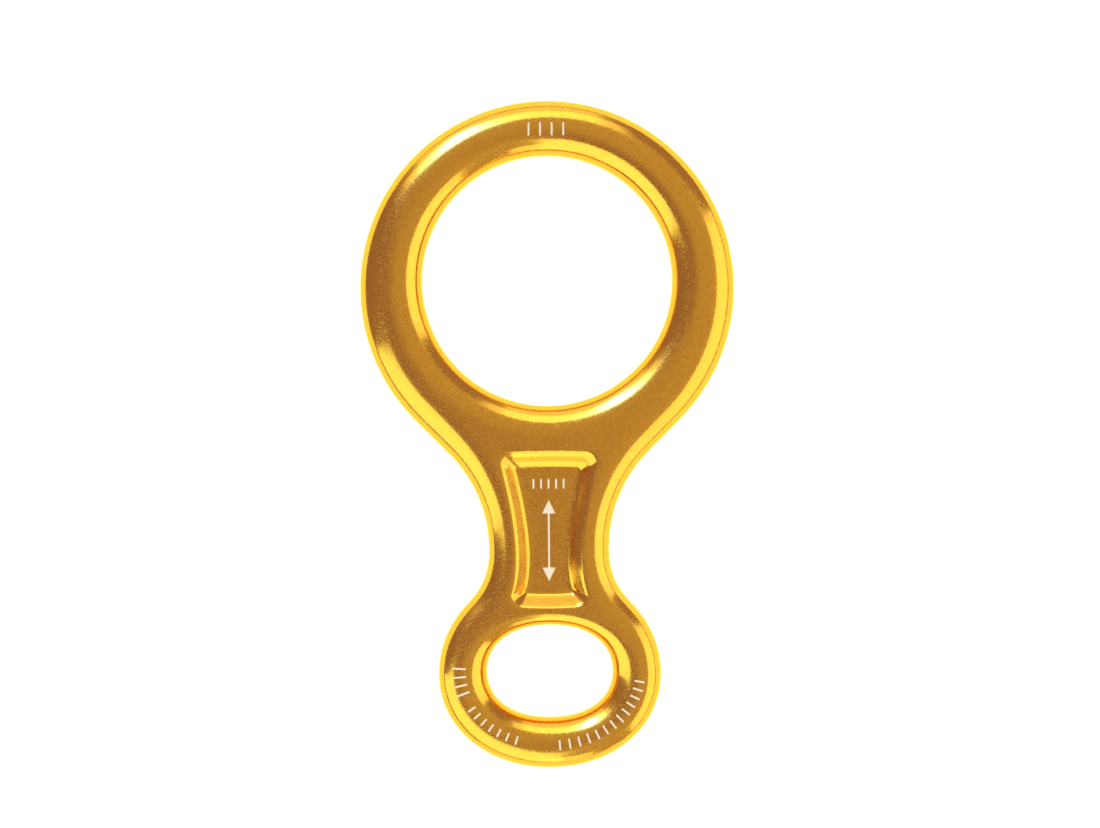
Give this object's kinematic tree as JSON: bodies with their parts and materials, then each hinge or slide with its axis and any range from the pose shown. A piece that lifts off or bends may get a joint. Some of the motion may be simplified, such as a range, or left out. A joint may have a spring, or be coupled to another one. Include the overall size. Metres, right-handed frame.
{
  "type": "figure-eight descender",
  "caption": "Flat figure-eight belay device: a large round rope ring and a small ring with an oval clip-in eye, joined by a waisted neck with a shallow pocket in each face.",
  "frame": {"origin": "middle of the body's outline in X and Y, on the plane of its underside", "axes": "+Z through the thickness, +Y from the small ring to the large rope ring, +X across; the body lies flat on its underside"},
  "size_m": [0.0748, 0.1332, 0.0115],
  "materials": {
    "gold_anodised_aluminium": "hot-forged, polished and anodised transparent gold"
  },
  "bodies": {
    "root": {"forged_body": "gold_anodised_aluminium"}
  },
  "joints": []
}
